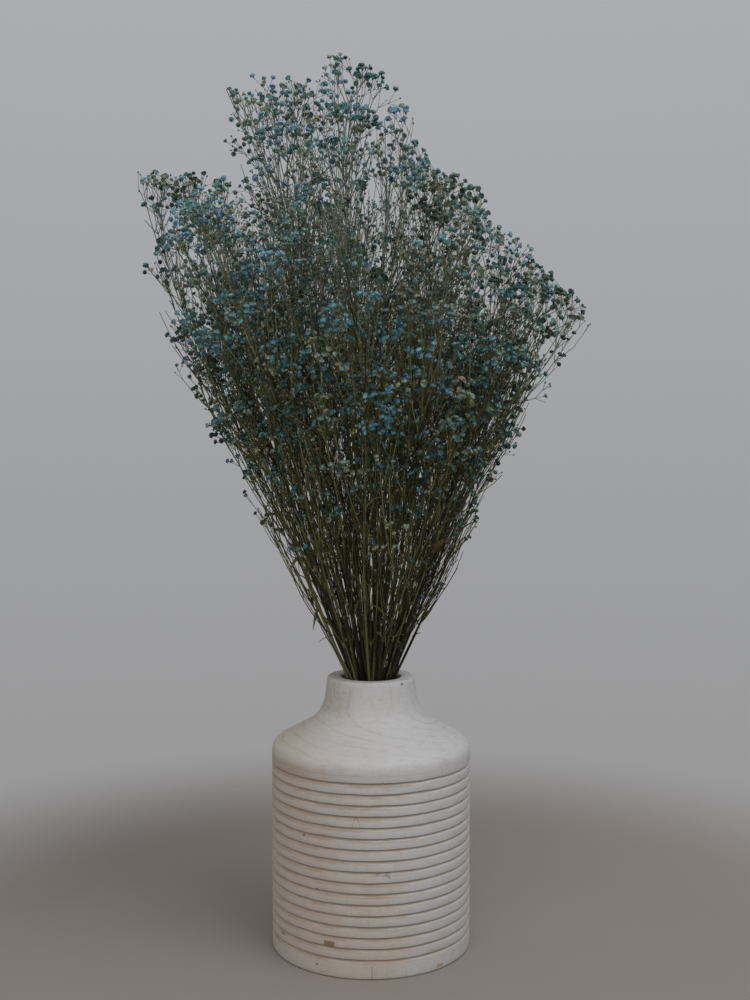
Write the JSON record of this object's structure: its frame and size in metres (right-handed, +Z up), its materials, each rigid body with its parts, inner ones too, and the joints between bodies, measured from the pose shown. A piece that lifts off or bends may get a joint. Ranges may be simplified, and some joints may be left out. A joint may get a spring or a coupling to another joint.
{
  "type": "preserved gypsophila in vase",
  "caption": "Dyed and dried gypsophila sprays fanning from a turned wooden vase with a grooved round body, sloping shoulder and short neck.",
  "frame": {"origin": "centre of the vase's foot, on the surface that it stands on", "axes": "+Z up along the vase's axis; -Y towards the front of the picture, +X to its right"},
  "size_m": [0.3937, 0.4021, 0.7829],
  "materials": {
    "whitewashed_wood": "matt whitewash over turned wood, worn at the edges of the grooves",
    "bright_blue_florets": "matt, dyed and dried florets in bright blue",
    "deep_teal_florets": "matt, dyed and dried florets in deep teal",
    "faded_green_florets": "matt, dyed and dried florets faded to grey-green",
    "dried_stem": "matt, dried olive-brown stems and leaves"
  },
  "bodies": {
    "root": {"vase": "whitewashed_wood", "spray_01": "bright_blue_florets", "spray_02": "deep_teal_florets", "spray_03": "faded_green_florets", "spray_04": "bright_blue_florets", "spray_05": "deep_teal_florets", "spray_06": "faded_green_florets", "spray_07": "bright_blue_florets", "spray_08": "deep_teal_florets", "spray_09": "faded_green_florets", "spray_10": "bright_blue_florets", "spray_11": "deep_teal_florets", "spray_12": "faded_green_florets", "spray_13": "bright_blue_florets", "spray_14": "deep_teal_florets", "spray_15": "faded_green_florets", "spray_16": "bright_blue_florets", "spray_17": "deep_teal_florets", "spray_18": "faded_green_florets", "spray_19": "bright_blue_florets", "spray_20": "deep_teal_florets", "spray_21": "faded_green_florets", "spray_22": "bright_blue_florets", "spray_23": "deep_teal_florets", "spray_24": "faded_green_florets", "spray_25": "bright_blue_florets", "spray_26": "deep_teal_florets", "spray_27": "faded_green_florets", "spray_28": "bright_blue_florets", "spray_29": "deep_teal_florets", "spray_30": "faded_green_florets", "spray_31": "bright_blue_florets"}
  },
  "joints": []
}
